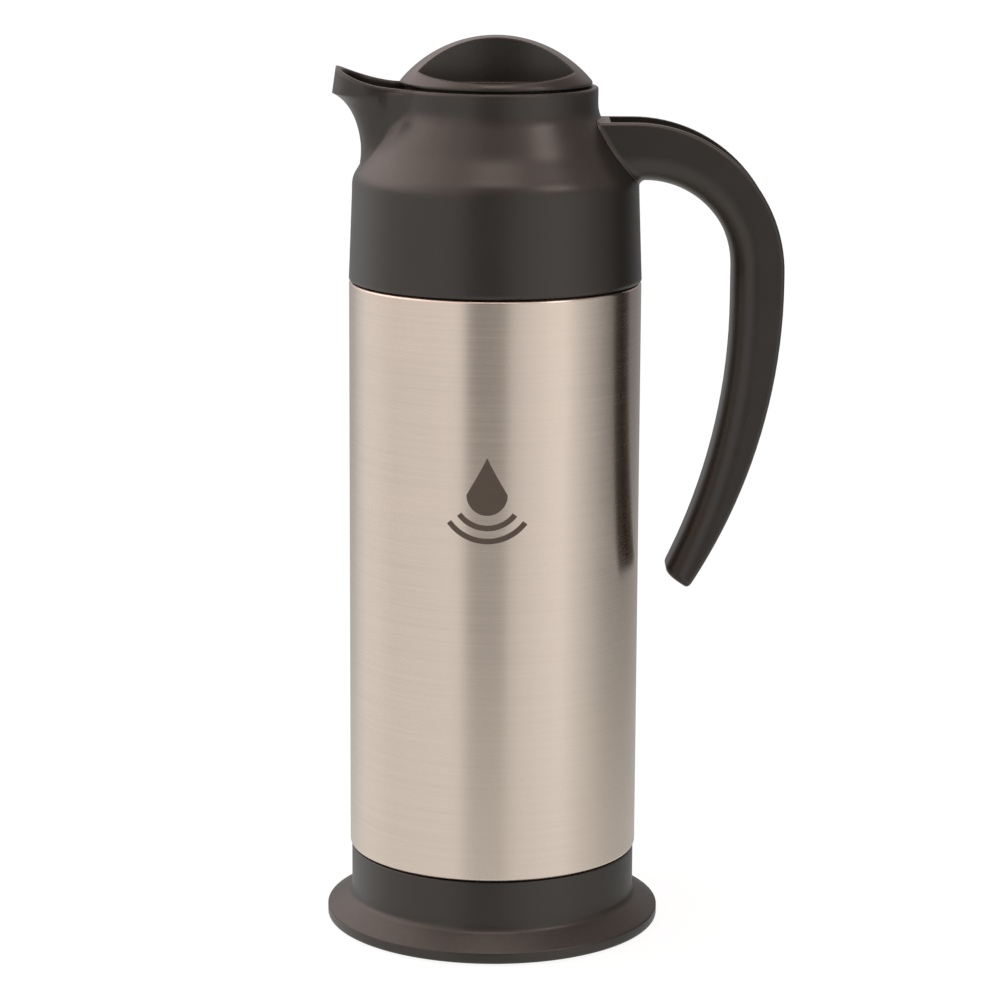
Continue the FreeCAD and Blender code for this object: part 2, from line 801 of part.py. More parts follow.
def make_handle():
    """Hook handle: a flat hook with a rounded grip side and a channel along its back."""
    inside = size.collar_neck_radius * size.handle_root_share
    back_knee = steel_top - size.handle_knee_drop
    tip_x, tip_z = size.tip_outer_reach, steel_top - size.tip_outer_drop
    body = new_body("handle")
    hook = extrude(body, "hook", "XZ_Plane", [[
        (inside, handle_under),
        (size.grip_reach, handle_under, size.grip_top_round),
        (size.grip_reach, steel_top - size.grip_knee_drop, size.grip_round),
        (size.tip_inner_reach, steel_top - size.tip_inner_drop),
        (tip_x, tip_z),
        (size.handle_reach, back_knee, size.handle_back_round),
        (size.handle_reach, handle_top, size.handle_top_round),
        (inside, handle_top),
    ]], size.handle_width)
    side = size.handle_width.half.value

    def side_arc(edge):
        flat = edge.BoundBox.YLength < TOUCH and abs(abs(edge.CenterOfMass.y) - side) < TOUCH
        return flat and edge.Curve.TypeId == "Part::GeomCircle"

    def on_grip(edge):
        return side_arc(edge) and edge.BoundBox.XMax < size.grip_reach.value + TOUCH

    def on_back(edge):
        return side_arc(edge) and edge.BoundBox.XMax > size.handle_reach.value - TOUCH

    def on_tip(edge):
        low = edge.BoundBox.ZMax < (steel_top - size.tip_inner_drop).value + TOUCH
        return low and edge.BoundBox.XMax < tip_x.value - TOUCH

    grip = round_edges(body, "grip_rounding", hook, on_grip, size.handle_side_round)
    round_edges(body, "tip_rounding", grip, on_tip, size.handle_tip_round)
    deep, over = size.channel_depth, size.overrun
    end = tip_z + size.channel_end_wall
    channel = extrude(body, "channel", "XZ_Plane", [[
        (size.channel_start, handle_top - deep * size.channel_ramp_share),
        (size.channel_start + deep, handle_top - deep),
        (size.handle_reach - deep, handle_top - deep, size.handle_top_round - deep),
        (size.handle_reach - deep, back_knee + deep * size.channel_knee_share,
         size.handle_back_round - deep),
        (tip_x - deep * size.channel_knee_share, end),
        (tip_x + deep + over, end - over),
        (size.handle_reach + over, back_knee),
        (size.handle_reach + over, handle_top + over),
        (size.channel_start, handle_top + over),
    ]], size.handle_width - size.rail_width * 2, kind="Pocket")
    rails = round_edges(body, "rail_rounding", channel, on_back, size.handle_rail_round)
    root_form = revolve(body, "handle_root_form", collar_outside())
    doc.recompute()
    skins = [doc.getObject("collar_turn").Shape.Shells[0], rails.Shape.Shells[0]]
    round_edges(body, "root_rounding", root_form, lambda edge: lies_on(edge, skins),
                size.handle_root_round)
    revolve(body, "collar_saddle", collar_outside(size.handle_seat_clearance), "Groove")
    screw_holes(body, size.screw_radius)
    return body


def make_handle_screws():
    """Two screws from under the collar into the handle's root, as one node."""
    body = new_body("handle_screws")
    half = size.screw_spacing.half
    places = [(size.screw_reach, half), (size.screw_reach, -half)]
    for name, radius, height, length in (
        ("heads", size.screw_head_radius, web_bottom - size.screw_head_height,
         size.screw_head_height),
        ("shanks", size.screw_radius, web_bottom, size.screw_length),
    ):
        sketch = new_sketch(body, f"{name}_outline", "XY_Plane", height)
        for place in places:
            draw_circle(sketch, place, radius)
        pad = body.newObject("PartDesign::Pad", name)
        pad.Profile = sketch
        pad.Length = length.value
        pad.setExpression("Length", length.text)
    return body


def make_neck_washer():
    """Silicone washer between the steel shoulder and the web of the collar."""
    body = new_body("neck_washer")
    revolve(body, "neck_washer", [
        (size.washer_inner_radius, shoulder_top),
        (size.washer_outer_radius, shoulder_top),
        (size.washer_outer_radius, web_bottom),
        (size.washer_inner_radius, web_bottom),
    ])
    return body


def make_neck_ring():
    """Ring screwed on the steel neck, which holds the collar down and covers the welded lip."""
    bore = size.ring_thread_radius
    lip = neck_top + size.steel_wall + size.ring_lip_clearance
    body = new_body("neck_ring")
    revolve(body, "neck_ring", [
        (bore, web_top),
        (size.ring_radius, web_top),
        (size.ring_radius, ring_top, size.edge_round),
        (size.ring_bore_radius, ring_top, size.edge_round),
        (size.ring_bore_radius, lip),
        (bore, lip),
    ])
    return body


def make_stopper_gasket():
    """Flat silicone ring under the stopper's flange, which closes the gap round the barrel."""
    inner = size.barrel_radius + size.seal_gap
    body = new_body("stopper_gasket")
    revolve(body, "stopper_gasket", [
        (inner, seal_bottom),
        (size.seal_radius, seal_bottom, size.edge_round),
        (size.seal_radius, seal_top),
        (inner, seal_top),
    ])
    return body


def make_stopper_body():
    """Hollow barrel of the stopper with the flange that presses the gasket."""
    inner = size.barrel_radius - size.barrel_wall
    body = new_body("stopper_body")
    revolve(body, "stopper_body", [
        (inner, barrel_bottom),
        (size.barrel_radius, barrel_bottom),
        (size.barrel_radius, flange_bottom),
        (size.flange_radius, flange_bottom, size.edge_round),
        (size.flange_radius, flange_top),
        (size.barrel_radius, flange_top),
        (size.barrel_radius, barrel_top),
        (inner, barrel_top),
    ])
    return body


def make_stopper_bottom():
    """Cap that is pressed into the lower end of the barrel."""
    ring = size.barrel_radius - size.barrel_wall - size.inner_fit_clearance
    body = new_body("stopper_bottom")
    revolve(body, "stopper_bottom", [
        (0, barrel_bottom - size.bottom_thickness),
        (size.barrel_radius, barrel_bottom - size.bottom_thickness, size.bottom_round),
        (size.barrel_radius, barrel_bottom),
        (ring, barrel_bottom),
        (ring, barrel_bottom + size.bottom_ring_height),
        (ring - size.bottom_ring_wall, barrel_bottom + size.bottom_ring_height),
        (ring - size.bottom_ring_wall, barrel_bottom),
        (0, barrel_bottom),
    ])
    return body


def make_insulation_plug():
    """Foam core that fills the barrel between its bottom and the cap's plug ring."""
    side = size.barrel_radius - size.barrel_wall - size.foam_clearance
    low = barrel_bottom + size.bottom_ring_height + size.foam_clearance
    high = cap_underside - size.cap_plug_height - size.foam_clearance
    body = new_body("insulation_plug")
    revolve(body, "insulation_plug", [(0, low), (side, low), (side, high), (0, high)])
    return body


def make_lid_cap():
    """Domed cap: two scoops leave a grip fin, and a skirt and a plug ring reach down."""
    corner = size.cap_radius * size.dome_corner_share
    fall = cap_top - cap_bottom - size.cap_rim_round
    run = size.cap_radius - corner
    slant = root(run * run + fall * fall)
    dome = corner * fall / (slant - run) * size.dome_fill_share
    skirt = size.collar_neck_radius - size.collar_wall - size.cap_skirt_clearance
    plug = size.barrel_radius - size.barrel_wall - size.inner_fit_clearance
    groove = plug - cap_seal_inner + size.inner_fit_clearance.half
    seal_middle = cap_underside - size.cap_seal_drop
    seal_half = size.cap_seal_section.half + size.inner_fit_clearance.half
    body = new_body("lid_cap")
    revolve(body, "lid_cap", [
        (0, cap_top),
        (corner, cap_top, dome),
        (size.cap_radius, cap_bottom + size.cap_rim_round, size.cap_rim_round),
        (size.cap_radius - size.cap_rim_round, cap_bottom),
        (skirt, cap_bottom),
        (skirt, flange_top),
        (skirt - size.cap_skirt_wall, flange_top),
        (skirt - size.cap_skirt_wall, cap_underside),
        (plug, cap_underside),
        (plug, seal_middle + seal_half),
        (plug - groove, seal_middle + seal_half),
        (plug - groove, seal_middle - seal_half),
        (plug, seal_middle - seal_half),
        (plug, cap_underside - size.cap_plug_height),
        (plug - size.cap_plug_wall, cap_underside - size.cap_plug_height),
        (plug - size.cap_plug_wall, cap_underside),
        (0, cap_underside),
    ])
    fin = size.fin_thickness.half
    beyond = size.cap_radius + size.overrun
    high = cap_top + size.overrun
    scoops = [
        [
            (fin * side, scoop_floor, size.scoop_round),
            (beyond * side, scoop_floor),
            (beyond * side, high),
            (fin * side, high),
        ]
        for side in (1, -1)
    ]
    extrude(body, "scoops", "YZ_Plane", scoops, beyond * 2, kind="Pocket")
    foot, tip = size.fin_core_length.half, size.fin_core_top_length.half
    core = [[
        (-foot, cap_underside - size.overrun),
        (foot, cap_underside - size.overrun),
        (foot, cap_underside),
        (tip, cap_underside + size.fin_core_height),
        (-tip, cap_underside + size.fin_core_height),
        (-foot, cap_underside),
    ]]
    core_cut = extrude(body, "fin_core", "XZ_Plane", core, size.fin_core_half_width * 2,
                       kind="Pocket")

    def scoop_edge(edge):
        box = edge.BoundBox
        above = box.ZMin > scoop_floor.value - TOUCH
        return above and edge.Curve.TypeId == "Part::GeomBSplineCurve"

    round_edges(body, "scoop_rounding", core_cut, scoop_edge, size.scoop_edge_round)
    return body


def make_cap_seal():
    """Rubber ring in the groove of the cap's plug ring, pressed against the barrel."""
    half = size.cap_seal_section.half
    middle = cap_seal_outer - half
    body = new_body("cap_seal")
    sketch = new_sketch(body, "cap_seal_section", "XZ_Plane")
    draw_circle(sketch, (middle, cap_underside - size.cap_seal_drop), half)
    turn = body.newObject("PartDesign::Revolution", "cap_seal_turn")
    turn.Profile = sketch
    turn.ReferenceAxis = (sketch, ["V_Axis"])
    turn.Angle = 360
    return body


MAKERS = (
    make_outer_shell,
    make_inner_liner,
    make_shell_bottom,
    make_port_seal,
    make_getter,
    make_base_ring,
    make_base_plate,
    make_foot_ring,
    make_collar,
    make_handle,
    make_handle_screws,
    make_neck_washer,
    make_neck_ring,
    make_stopper_gasket,
    make_stopper_body,
    make_stopper_bottom,
    make_insulation_plug,
    make_lid_cap,
    make_cap_seal,
)

bodies = [make() for make in MAKERS]
doc.recompute()

faults = [thing.Name for thing in doc.Objects
          if "Invalid" in thing.State or "Error" in thing.State]
for body in bodies:
    shape = body.Shape
    if shape.isNull() or not shape.isValid():
        faults.append(body.Label)
if faults:
    raise RuntimeError("These don't build: " + ", ".join(faults))

os.makedirs("parts", exist_ok=True)
for body in bodies:
    body.Shape.exportStep(f"parts/{body.Label}.step")
    print(body.Label, len(body.Shape.Solids), round(body.Shape.Volume, 1))
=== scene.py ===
# %% [markdown]
# # A vacuum creamer in steel and black plastic
#
# The jug is a slim double-walled steel vessel. A black moulded collar with a spout and a hook
# handle is clamped on its neck, a flared base is pressed on its foot, and a domed stopper lid
# screws into its mouth. The solids come from the frame. This file gives them their finishes,
# makes three of them again in a finer form, adds the few small forms that the solid model leaves
# out, and sets up a plain studio.

# %% Load the frame
import math

import bmesh
import bpy
import numpy as np
from mathutils import Matrix, Vector
from mathutils.bvhtree import BVHTree


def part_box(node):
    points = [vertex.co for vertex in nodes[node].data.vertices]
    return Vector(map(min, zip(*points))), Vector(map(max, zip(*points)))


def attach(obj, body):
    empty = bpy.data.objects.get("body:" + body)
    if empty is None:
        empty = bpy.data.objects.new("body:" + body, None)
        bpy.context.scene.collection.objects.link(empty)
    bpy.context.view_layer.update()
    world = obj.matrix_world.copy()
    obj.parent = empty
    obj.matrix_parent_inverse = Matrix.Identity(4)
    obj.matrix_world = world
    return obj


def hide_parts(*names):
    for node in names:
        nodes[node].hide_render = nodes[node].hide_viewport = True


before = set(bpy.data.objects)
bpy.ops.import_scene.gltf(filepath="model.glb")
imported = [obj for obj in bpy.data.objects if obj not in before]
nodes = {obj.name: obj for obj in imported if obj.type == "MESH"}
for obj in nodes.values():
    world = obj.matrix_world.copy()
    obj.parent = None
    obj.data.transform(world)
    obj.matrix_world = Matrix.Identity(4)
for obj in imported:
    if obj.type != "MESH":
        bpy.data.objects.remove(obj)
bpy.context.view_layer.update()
mm = 0.001
print("nodes:", ", ".join(sorted(nodes)))

# %% [markdown]
# ## Camera
#
# A product photograph of a tall jug is taken with a long lens from a little above, so that the
# sides stay nearly parallel while the rims show as flat ellipses. The same can be had from a
# short lens close by, but then the base shrinks. Here the camera stands about 1.1 m away, looks
# down by some eleven degrees and is rolled by a third of a degree. A small vertical shift stands
# in for the movable front of a studio camera, which keeps the sides upright.

# %% Camera
picture_pixels, focal_pixels = 1000, 3440.3
tilt_down, roll = 0.1899, 0.0053        # radians
camera_data = bpy.data.cameras.new("studio_camera")
camera_data.sensor_width = 36.0
camera_data.lens = focal_pixels * camera_data.sensor_width / picture_pixels
camera_data.shift_y = -0.06
camera = bpy.data.objects.new("studio_camera", camera_data)
camera.location = (0.66 * mm, -1050 * mm, 355 * mm)
camera.rotation_euler = (math.radians(90) - tilt_down, -roll, 0)
bpy.context.scene.collection.objects.link(camera)
bpy.context.scene.camera = camera
bpy.context.scene.view_settings.view_transform = "Standard"
print(f"lens {camera_data.lens:.1f} mm at {camera.location.length:.2f} m")

# %% [markdown]
# ## Helpers for shader nodes
#
# Every material below is a small graph of nodes. A few helpers keep the graphs short. One adds a
# node and fills its inputs; the others use it for a colour ramp, for arithmetic, and for values
# and colours that run between two ends. They do nothing that the editor's menus don't do.


# %% Node helpers
def add_node(tree, kind, settings=None, **inputs):
    """Adds a node; settings are its own fields, inputs are values or sockets to link.

    An input goes by its label, with _ for a space, or by its number, as in i0.
    """
    made = tree.nodes.new(kind)
    for name, value in (settings or {}).items():
        setattr(made, name, value)
    for name, value in inputs.items():
        by_number = name[0] == "i" and name[1:].isdigit()
        socket = made.inputs[int(name[1:]) if by_number else name.replace("_", " ")]
        if isinstance(value, bpy.types.NodeSocket):
            tree.links.new(value, socket)
        else:
            socket.default_value = value
    return made


def add_ramp(tree, factor, stops):
    """A colour ramp; stops are (place, (r, g, b))."""
    made = tree.nodes.new("ShaderNodeValToRGB")
    made.color_ramp.interpolation = "LINEAR"
    elements = made.color_ramp.elements
    while len(elements) > 1:
        elements.remove(elements[-1])
    for i, (place, tone) in enumerate(stops):
        element = elements[0] if i == 0 else elements.new(place)
        element.position = place
        element.color = (*tone, 1)
    tree.links.new(factor, made.inputs["Fac"])
    return made


def math_node(tree, operation, *values, clamp=False):
    """The output of a Math node; values are its inputs in order, numbers or sockets."""
    settings = {"operation": operation, "use_clamp": clamp}
    inputs = {f"i{i}": value for i, value in enumerate(values)}
    return add_node(tree, "ShaderNodeMath", settings, **inputs).outputs[0]


def progress(tree, value, start, stop):
    """How far a value has come from start to stop, held between 0 and 1."""
    return add_node(tree, "ShaderNodeMapRange", i0=value, i1=start, i2=stop).outputs[0]


def spread_over(tree, factor, low, high):
    """A value that runs from low to high as the factor runs from 0 to 1."""
    return add_node(tree, "ShaderNodeMapRange", i0=factor, i3=low, i4=high).outputs[0]


def between(tree, factor, low, high):
    """A colour that runs from low to high as the factor runs from 0 to 1."""
    low, high = [colour if isinstance(colour, bpy.types.NodeSocket) else (*colour, 1)
                 for colour in (low, high)]
    return add_node(tree, "ShaderNodeMix", {"data_type": "RGBA"},
                    i0=factor, i6=low, i7=high).outputs[2]


# %% [markdown]
# ## Studio
#
# Polished metal shows what stands round it, so the room matters as much as the lamps. A small
# studio has two broad white reflectors, one on each side of the camera, a gap between them where
# the photographer stands, and a dim room behind. A warm canopy hangs over it: it is brightest at
# the left, where a large window of cloth is lit from behind, and it dims above the camera. The
# pale floor brightens the lowest directions. Instead of many panels this room is painted on the
# world. One ramp over the compass angle holds the upright panels and a second one the canopy;
# three blends over the height join floor, panels, canopy and ceiling. It costs no render time.
# The camera itself sees plain white.

# %% Directions in the room
world = bpy.data.worlds.new("studio_room")
bpy.context.scene.world = world
world.use_nodes = True
tree = world.node_tree
tree.nodes.clear()
direction = add_node(tree, "ShaderNodeTexCoord").outputs["Generated"]
axes = add_node(tree, "ShaderNodeSeparateXYZ", Vector=direction)
towards_camera = math_node(tree, "MULTIPLY", axes.outputs["Y"], -1.0)
compass = math_node(tree, "ARCTAN2", axes.outputs["X"], towards_camera)
turn = math_node(tree, "MULTIPLY_ADD", compass, 1 / (2 * math.pi), 0.5)
print("world:", world.name)


# %% Ramps round the room
def round_ramp(stops, tint=(1, 1, 1)):
    """A ramp over the compass angle; stops are (degrees from the camera, grey)."""
    tones = [((angle + 180) / 360, tuple(grey * part for part in tint)) for angle, grey in stops]
    return add_ramp(tree, turn, tones).outputs["Color"]


warm = (1.0, 0.85, 0.82)
panels = round_ramp([
    (-180, 0.35), (-161, 0.42), (-147, 0.50), (-133, 0.74), (-121, 0.87), (-108, 0.86),
    (-85, 0.72), (-55, 0.80), (-33, 0.87), (-26, 0.80), (-20, 0.38), (-14, 0.24), (0, 0.24),
    (7, 0.30), (13, 0.62), (22, 0.78), (37, 0.91), (55, 1.05), (73, 0.66), (95, 0.28),
    (103, 0.20), (118, 0.15), (131, 0.16), (144, 0.22), (157, 0.28), (180, 0.35),
])
canopy = round_ramp([
    (-180, 0.90), (-140, 1.50), (-108, 2.30), (-80, 1.90), (-55, 1.30), (-27, 1.15),
    (-18, 0.42), (9, 0.38), (16, 0.75), (40, 0.95), (62, 0.80), (88, 0.50), (130, 0.40),
    (180, 0.90),
], tint=warm)
print("panels and canopy: two ramps over the compass angle")


# %% Join them over the height
def blend_up(low, high, start, stop):
    """Mixes two colours over the height of the direction, from start to stop."""
    climb = add_node(tree, "ShaderNodeMapRange", {"interpolation_type": "SMOOTHSTEP"},
                     i0=axes.outputs["Z"], i1=start, i2=stop)
    return between(tree, climb.outputs[0], low, high)


floor_light = (0.85, 0.84, 0.82)
ceiling = tuple(1.15 * part for part in warm)
near_floor = blend_up(floor_light, panels, -0.46, -0.14)
under_canopy = blend_up(near_floor, canopy, 0.04, 0.42)
room = blend_up(under_canopy, ceiling, 0.80, 0.97)
light_path = add_node(tree, "ShaderNodeLightPath")
seen = between(tree, light_path.outputs["Is Camera Ray"], room, (1, 1, 1))
background = add_node(tree, "ShaderNodeBackground", Color=seen, Strength=1.0)
add_node(tree, "ShaderNodeOutputWorld", Surface=background.outputs[0])
print("world nodes:", len(tree.nodes))

# %% [markdown]
# Two soft lamps stand for the studio's own: one hangs over the front and lays a broad highlight
# on the collar's slope, and one at the right gives the round highlight on its neck. Their power
# is low, because the room already lights the jug evenly.


# %% Lamps
def softbox(name, place, aim, width, height, power):
    """A warm rectangular lamp at a place, turned towards a point."""
    lamp_data = bpy.data.lights.new(name, "AREA")
    lamp_data.shape = "RECTANGLE"
    lamp_data.size = width
    lamp_data.size_y = height
    lamp_data.energy = power
    lamp_data.color = warm
    lamp = bpy.data.objects.new(name, lamp_data)
    lamp.location = place
    lamp.rotation_euler = (Vector(aim) - Vector(place)).to_track_quat("-Z", "Y").to_euler()
    bpy.context.scene.collection.objects.link(lamp)
    return lamp


over = softbox("softbox_over", (0.0, -0.34, 1.50), (0, 0, 0.24), 0.56, 0.46, 2.0)
right = softbox("softbox_right", (0.83, -0.48, 1.13), (0, 0, 0.25), 0.42, 0.42, 1.9)
print("lamps:", over.name, "and", right.name)

# %% [markdown]
# ## Floor
#
# The floor is a plain pale sheet. For the camera most of its tone is its own white, so that it
# melts into the background, and a part is real diffuse light, which keeps the jug's shadow. It
# stays out of the reflections, as a small table top would.

# %% Floor
paper_white, own_light, own_share = 0.86, 1.06, 0.86
floor_mesh = bpy.data.meshes.new("floor")
floor_form = bmesh.new()
bmesh.ops.create_grid(floor_form, x_segments=1, y_segments=1, size=4.0)
floor_form.to_mesh(floor_mesh)
floor_form.free()
floor = bpy.data.objects.new("floor", floor_mesh)
bpy.context.scene.collection.objects.link(floor)
floor.visible_glossy = False

paper = bpy.data.materials.new("pale_floor")
paper.use_nodes = True
tree = paper.node_tree
tree.nodes.clear()
matt = add_node(tree, "ShaderNodeBsdfDiffuse", Color=(*[paper_white] * 3, 1))
glow = add_node(tree, "ShaderNodeEmission", Color=(1, 1, 1, 1), Strength=own_light)
light_path = add_node(tree, "ShaderNodeLightPath")
share = math_node(tree, "MULTIPLY", light_path.outputs["Is Camera Ray"], own_share)
blend = add_node(tree, "ShaderNodeMixShader", i0=share, i1=matt.outputs[0], i2=glow.outputs[0])
add_node(tree, "ShaderNodeOutputMaterial", Surface=blend.outputs[0])
floor_mesh.materials.append(paper)
floor_half = max(vert.co.x for vert in floor_mesh.vertices)
print(f"floor at z = 0, {2 * floor_half:.0f} m wide")

# %% [markdown]
# ## Shared surface effects
#
# Four effects come back in several finishes: the fine brushing of sheet steel, the grain of a
# moulded surface, the rubbed light line along an edge, and a little dust that lies on what faces
# up. Each is a node group with named inputs, so that a finish only says how much it has of
# each. A group gives masks and heights, and the shader stays in the material.


# %% Group helper
def new_group(name, inputs, outputs):
    """An empty node group with its sockets; returns the group and its two end nodes."""
    group = bpy.data.node_groups.new(name, "ShaderNodeTree")
    for label, kind, value in inputs:
        socket = group.interface.new_socket(label, in_out="INPUT", socket_type=kind)
        if value is not None:
            socket.default_value = value
    for label, kind in outputs:
        group.interface.new_socket(label, in_out="OUTPUT", socket_type=kind)
    return group, group.nodes.new("NodeGroupInput"), group.nodes.new("NodeGroupOutput")


FLOAT, VECTOR = "NodeSocketFloat", "NodeSocketVector"


# %% [markdown]
# Brushing leaves thousands of short scratches that all run round the jug. Noise that is
# stretched far along X and Y and squeezed along Z looks like that without any unwrapping, and it
# has no seam, because a cylinder's scratches lie in level planes. Two scales are mixed: hair-fine
# lines and wider faint streaks.

# %% Brushed lines group
brushing, given, result = new_group(
    "brushed_lines",
    [("Vector", VECTOR, None), ("Fine", FLOAT, 9000.0), ("Wide", FLOAT, 900.0),
     ("Along", FLOAT, 14.0)],
    [("Lines", FLOAT), ("Streaks", FLOAT)])
place = add_node(brushing, "ShaderNodeSeparateXYZ", Vector=given.outputs["Vector"])
for label, rate, detail in (("Lines", "Fine", 3.0), ("Streaks", "Wide", 2.0)):
    across = math_node(brushing, "MULTIPLY", place.outputs["Z"], given.outputs[rate])
    side_x = math_node(brushing, "MULTIPLY", place.outputs["X"], given.outputs["Along"])
    side_y = math_node(brushing, "MULTIPLY", place.outputs["Y"], given.outputs["Along"])
    stretched = add_node(brushing, "ShaderNodeCombineXYZ", X=side_x, Y=side_y, Z=across)
    noise = add_node(brushing, "ShaderNodeTexNoise", Vector=stretched.outputs[0], Scale=1.0,
                     Detail=detail, Roughness=0.6)
    brushing.links.new(noise.outputs["Fac"], result.inputs[label])
print("group:", brushing.name)

# %% [markdown]
# A moulded part takes the spark-eroded grain of its mould. It is a shallow, cloudy bump a few
# tenths of a millimetre across. A second, much larger noise stands for the slight unevenness of
# gloss where the part has been handled.

# %% Moulded grain group
moulding, given, result = new_group(
    "moulded_grain",
    [("Vector", VECTOR, None), ("Grain", FLOAT, 3500.0), ("Cloud", FLOAT, 38.0)],
    [("Height", FLOAT), ("Clouds", FLOAT)])
fine = add_node(moulding, "ShaderNodeTexNoise", Vector=given.outputs["Vector"],
                Scale=given.outputs["Grain"], Detail=2.0, Roughness=0.55)
cloud = add_node(moulding, "ShaderNodeTexNoise", Vector=given.outputs["Vector"],
                 Scale=given.outputs["Cloud"], Detail=4.0, Roughness=0.6, Distortion=0.4)
moulding.links.new(fine.outputs["Fac"], result.inputs["Height"])
moulding.links.new(progress(moulding, cloud.outputs["Fac"], 0.32, 0.68),
                   result.inputs["Clouds"])
print("group:", moulding.name)

# %% [markdown]
# Edges are touched most, so they turn a little lighter and glossier. The Bevel node gives the
# normal that a rounded edge would have; where it differs from the true normal there is an edge.
# That works on any mesh, while Pointiness needs evenly spread vertices.

# %% Edge rub group
rubbing, given, result = new_group(
    "edge_rub", [("Radius", FLOAT, 0.0006), ("Spread", FLOAT, 2.2)], [("Edge", FLOAT)])
rounded = add_node(rubbing, "ShaderNodeBevel", {"samples": 4}, Radius=given.outputs["Radius"])
flat = add_node(rubbing, "ShaderNodeNewGeometry")
likeness = add_node(rubbing, "ShaderNodeVectorMath", {"operation": "DOT_PRODUCT"},
                    i0=rounded.outputs[0], i1=flat.outputs["Normal"])
unlike = math_node(rubbing, "SUBTRACT", 1.0, likeness.outputs["Value"])
spread = math_node(rubbing, "MULTIPLY", unlike, given.outputs["Spread"], clamp=True)
rubbing.links.new(spread, result.inputs["Edge"])
print("group:", rubbing.name)

# %% [markdown]
# Dust settles on what faces up. The mask is the upward part of the normal, broken by noise.

# %% Dust group
dusting, given, result = new_group(
    "settled_dust", [("Vector", VECTOR, None), ("Amount", FLOAT, 0.3)], [("Dust", FLOAT)])
facing = add_node(dusting, "ShaderNodeNewGeometry")
upward = add_node(dusting, "ShaderNodeSeparateXYZ", Vector=facing.outputs["Normal"])
level = progress(dusting, upward.outputs["Z"], 0.55, 1.0)
specks = add_node(dusting, "ShaderNodeTexNoise", Vector=given.outputs["Vector"], Scale=700.0,
                  Detail=6.0, Roughness=0.7)
broken = progress(dusting, specks.outputs["Fac"], 0.45, 0.75)
lying = math_node(dusting, "MULTIPLY", level, broken)
scaled = math_node(dusting, "MULTIPLY", lying, given.outputs["Amount"], clamp=True)
dusting.links.new(scaled, result.inputs["Dust"])
print("group:", dusting.name)


# %% Material helpers
def new_finish(name, **plain):
    """A material with a Principled BSDF; plain values go on its own sockets."""
    finish = bpy.data.materials.new(name)
    finish.use_nodes = True
    graph = finish.node_tree
    graph.nodes.clear()
    shader = add_node(graph, "ShaderNodeBsdfPrincipled", **plain)
    add_node(graph, "ShaderNodeOutputMaterial", Surface=shader.outputs[0])
    where = add_node(graph, "ShaderNodeTexCoord").outputs["Object"]
    return finish, graph, shader, where


def use_group(graph, group, **inputs):
    return add_node(graph, "ShaderNodeGroup", {"node_tree": group}, **inputs)


def bumped(graph, height, strength, distance, **base):
    """The normal of a surface that a height moves up and down."""
    return add_node(graph, "ShaderNodeBump", Strength=strength, Distance=distance,
                    Height=height, **base).outputs[0]


def feed(graph, shader, **sockets):
    """Links outputs to the shader's sockets; _ stands for a space in a label."""
    for label, output in sockets.items():
        graph.links.new(output, shader.inputs[label.replace("_", " ")])


def dress(names, finish):
    """Puts a finish in every material slot of the named nodes."""
    for name in names:
        for slot in nodes[name].material_slots:
            slot.material = finish
        if not nodes[name].material_slots:
            nodes[name].data.materials.append(finish)
    print(finish.name, "on", ", ".join(names))


# %% [markdown]
# ## Brushed steel body
#
# The outer wall is stainless sheet, rolled, welded and brushed round and round. Brushing makes
# the gloss uneven: a lamp spreads across the scratches, up and down, and stays sharp along them.
# That is what the anisotropy of the shader does, with its tangent set round the Z axis. The
# scratches themselves are a fine bump and a slight change of roughness.

# %% Brushed steel
streak_share = 0.45
steel, graph, shader, where = new_finish(
    "brushed_outer_steel", Metallic=1.0, Anisotropic=0.82, Anisotropic_Rotation=0.25,
    Specular_IOR_Level=0.5)
lines = use_group(graph, brushing, Vector=where)
streak_tone = progress(graph, lines.outputs["Streaks"], 0.3, 0.7)
line_tone = progress(graph, lines.outputs["Lines"], 0.25, 0.75)
tone = math_node(graph, "MULTIPLY_ADD", streak_tone, streak_share, line_tone)
mixed = math_node(graph, "DIVIDE", tone, 1 + streak_share, clamp=True)
colour = between(graph, mixed, (0.675, 0.582, 0.500), (0.745, 0.645, 0.560))
smudges = use_group(graph, moulding, Vector=where, Cloud=26.0)
handled = math_node(graph, "MULTIPLY", smudges.outputs["Clouds"], 0.05)
rough = math_node(graph, "ADD", spread_over(graph, mixed, 0.19, 0.27), handled)
tangent = add_node(graph, "ShaderNodeTangent", {"direction_type": "RADIAL", "axis": "Z"})
feed(graph, shader, Base_Color=colour, Roughness=rough, Tangent=tangent.outputs[0],
     Normal=bumped(graph, lines.outputs["Lines"], 0.06, 0.00002))
dress(["outer_shell"], steel)

# %% [markdown]
# ## Outer wall
#
# Steel shows every facet. The frame's mesh of the outer wall has long thin triangles, and where
# the wall rolls into its steps they leave a row of teeth in the gloss. So this one node is made
# again, in the same sizes: its section is drawn as points, every corner is rounded with short
# chords, and the whole is spun round the axis in fine steps.

# %% Helpers for new pieces
def to_object(form, name, finish, body, smooth=True):
    """Turns a bmesh into an object that rides on a body and has a finish."""
    bmesh.ops.remove_doubles(form, verts=form.verts, dist=1e-6)
    bmesh.ops.recalc_face_normals(form, faces=form.faces)
    mesh = bpy.data.meshes.new(name)
    form.to_mesh(mesh)
    form.free()
    for polygon in mesh.polygons:
        polygon.use_smooth = smooth
    made = bpy.data.objects.new(name, mesh)
    bpy.context.scene.collection.objects.link(made)
    mesh.materials.append(finish)
    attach(made, body)
    return made


